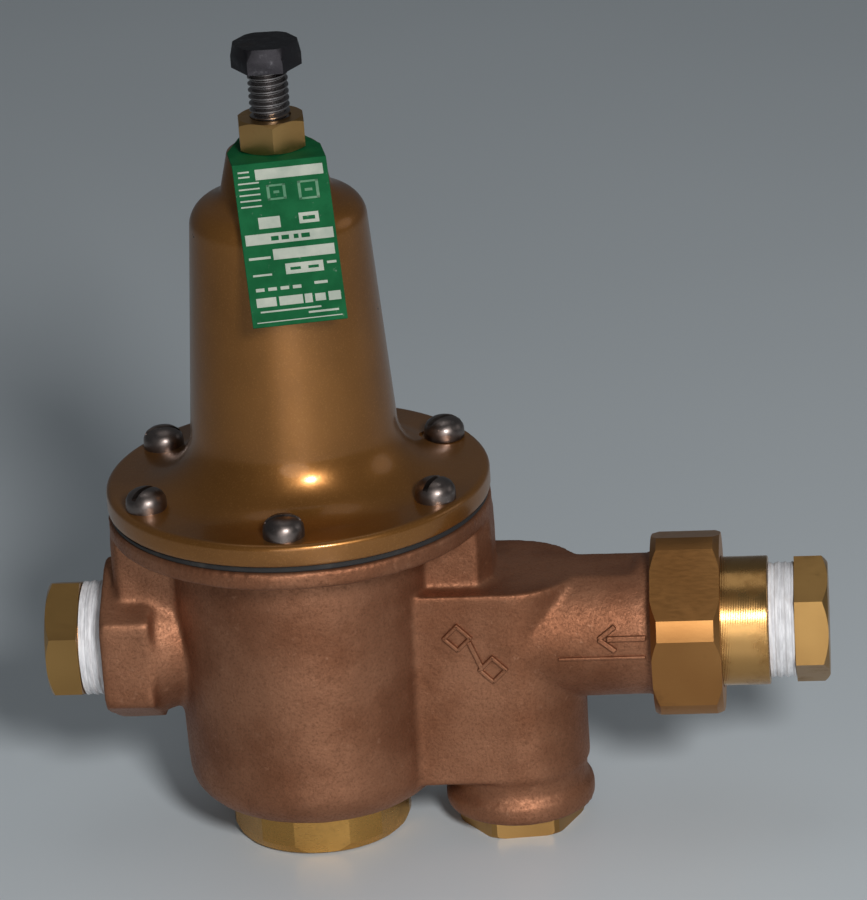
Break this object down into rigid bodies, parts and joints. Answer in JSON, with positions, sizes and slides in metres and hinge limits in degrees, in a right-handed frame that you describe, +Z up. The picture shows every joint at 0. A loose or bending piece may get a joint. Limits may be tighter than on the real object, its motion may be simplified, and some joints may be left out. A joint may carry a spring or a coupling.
{
  "type": "pressure reducing valve",
  "caption": "Spring-loaded water pressure reducing valve with bolted spring cage, strainer leg, union inlet and plugged ports; screw, caps, union and stem move.",
  "frame": {"origin": "centre of the underside of the bottom cap, on the axis of the spring cage and on the surface that the valve stands on", "axes": "+Z up along the spring cage, +X along the flow axis towards the union at the inlet, -Y towards the side with the tag"},
  "size_m": [0.1883, 0.092, 0.1997],
  "materials": {
    "cast_bronze": "sand-cast bronze, matt, grainy",
    "cage_paint": "glossy bronze-gold paint over a casting",
    "brass": "machined brass, satin",
    "bright_brass": "turned brass, polished",
    "screw_steel": "plain steel, slightly tarnished",
    "dark_steel": "oiled dark steel",
    "spring_steel": "oil-tempered spring wire",
    "screen_steel": "stainless mesh",
    "rubber": "black elastomer",
    "tape": "white thread tape",
    "tag": "green printed thin aluminium"
  },
  "bodies": {
    "valve_body": {"body": "cast_bronze", "spring_cage": "cage_paint", "diaphragm": "rubber", "flange_screws": "screw_steel", "seat_ring": "brass", "seat_gasket": "rubber", "range_spring": "spring_steel", "outlet_plug": "brass", "outlet_tape": "tape"},
    "stem_group": {"stem": "brass", "stem_nut": "brass", "diaphragm_plate": "screw_steel", "diaphragm_washer": "brass", "disc_holder": "brass", "seat_disc": "rubber", "disc_retainer": "brass"},
    "button": {"spring_button": "screw_steel"},
    "screw": {"adjusting_screw": "dark_steel"},
    "nut": {"lock_nut": "brass"},
    "tag": {"tag_plate": "tag"},
    "cap_seal": {"cap_gasket": "rubber"},
    "cap": {"bottom_cap": "brass"},
    "screen": {"strainer_screen": "screen_steel", "strainer_gasket": "rubber"},
    "drain_plug": {"strainer_plug": "brass"},
    "tailpiece": {"union_tailpiece": "bright_brass", "union_gasket": "rubber", "inlet_plug": "brass", "inlet_tape": "tape"},
    "coupling_nut": {"union_nut": "brass"}
  },
  "joints": [
    {"name": "stem_travel", "type": "slide", "parent": "valve_body", "child": "stem_group", "axis": [0, 0, 1], "range_m": [0, 0.0034], "stiffness_N_per_m": 3000, "springref_m": -0.01, "deforming": ["range_spring", "diaphragm"]},
    {"name": "button_travel", "type": "slide", "parent": "valve_body", "child": "button", "axis": [0, 0, 1], "range_m": [-0.0111, 0.0079]},
    {"name": "adjusting_screw_turn", "type": "hinge", "parent": "button", "child": "screw", "pos_m": [0, 0, 0.15], "axis": [0, 0, 1], "range_deg": [-2520, 1800]},
    {"name": "lock_nut_turn", "type": "hinge", "parent": "valve_body", "child": "nut", "pos_m": [0, 0, 0.178], "axis": [0, 0, 1], "range_deg": [0, 360]},
    {"name": "tag_swivel", "type": "hinge", "parent": "valve_body", "child": "tag", "pos_m": [0, 0, 0.173], "axis": [0, 0, 1], "range_deg": [-25, 25]},
    {"name": "cap_travel", "type": "slide", "parent": "valve_body", "child": "cap_seal", "axis": [0, 0, -1], "range_m": [0, 0.0104]},
    {"name": "cap_turn", "type": "hinge", "parent": "cap_seal", "child": "cap", "pos_m": [0, 0, 0], "axis": [0, 0, -1], "range_deg": [0, 2520]},
    {"name": "screen_travel", "type": "slide", "parent": "valve_body", "child": "screen", "axis": [0, 0, -1], "range_m": [0, 0.0108]},
    {"name": "strainer_plug_turn", "type": "hinge", "parent": "screen", "child": "drain_plug", "pos_m": [0.049, 0, 0], "axis": [0, 0, -1], "range_deg": [0, 2160]},
    {"name": "tailpiece_travel", "type": "slide", "parent": "valve_body", "child": "tailpiece", "axis": [1, 0, 0], "range_m": [0, 0.0099]},
    {"name": "union_nut_turn", "type": "hinge", "parent": "tailpiece", "child": "coupling_nut", "pos_m": [0.09, 0, 0.05], "axis": [1, 0, 0], "range_deg": [0, 1620]}
  ],
  "couplings": [
    {"joint": "adjusting_screw_turn", "follows": "button_travel", "rad_per_m": 3957.9},
    {"joint": "cap_turn", "follows": "cap_travel", "rad_per_m": 4188.8},
    {"joint": "strainer_plug_turn", "follows": "screen_travel", "rad_per_m": 3463.2},
    {"joint": "union_nut_turn", "follows": "tailpiece_travel", "rad_per_m": 2844.7}
  ]
}
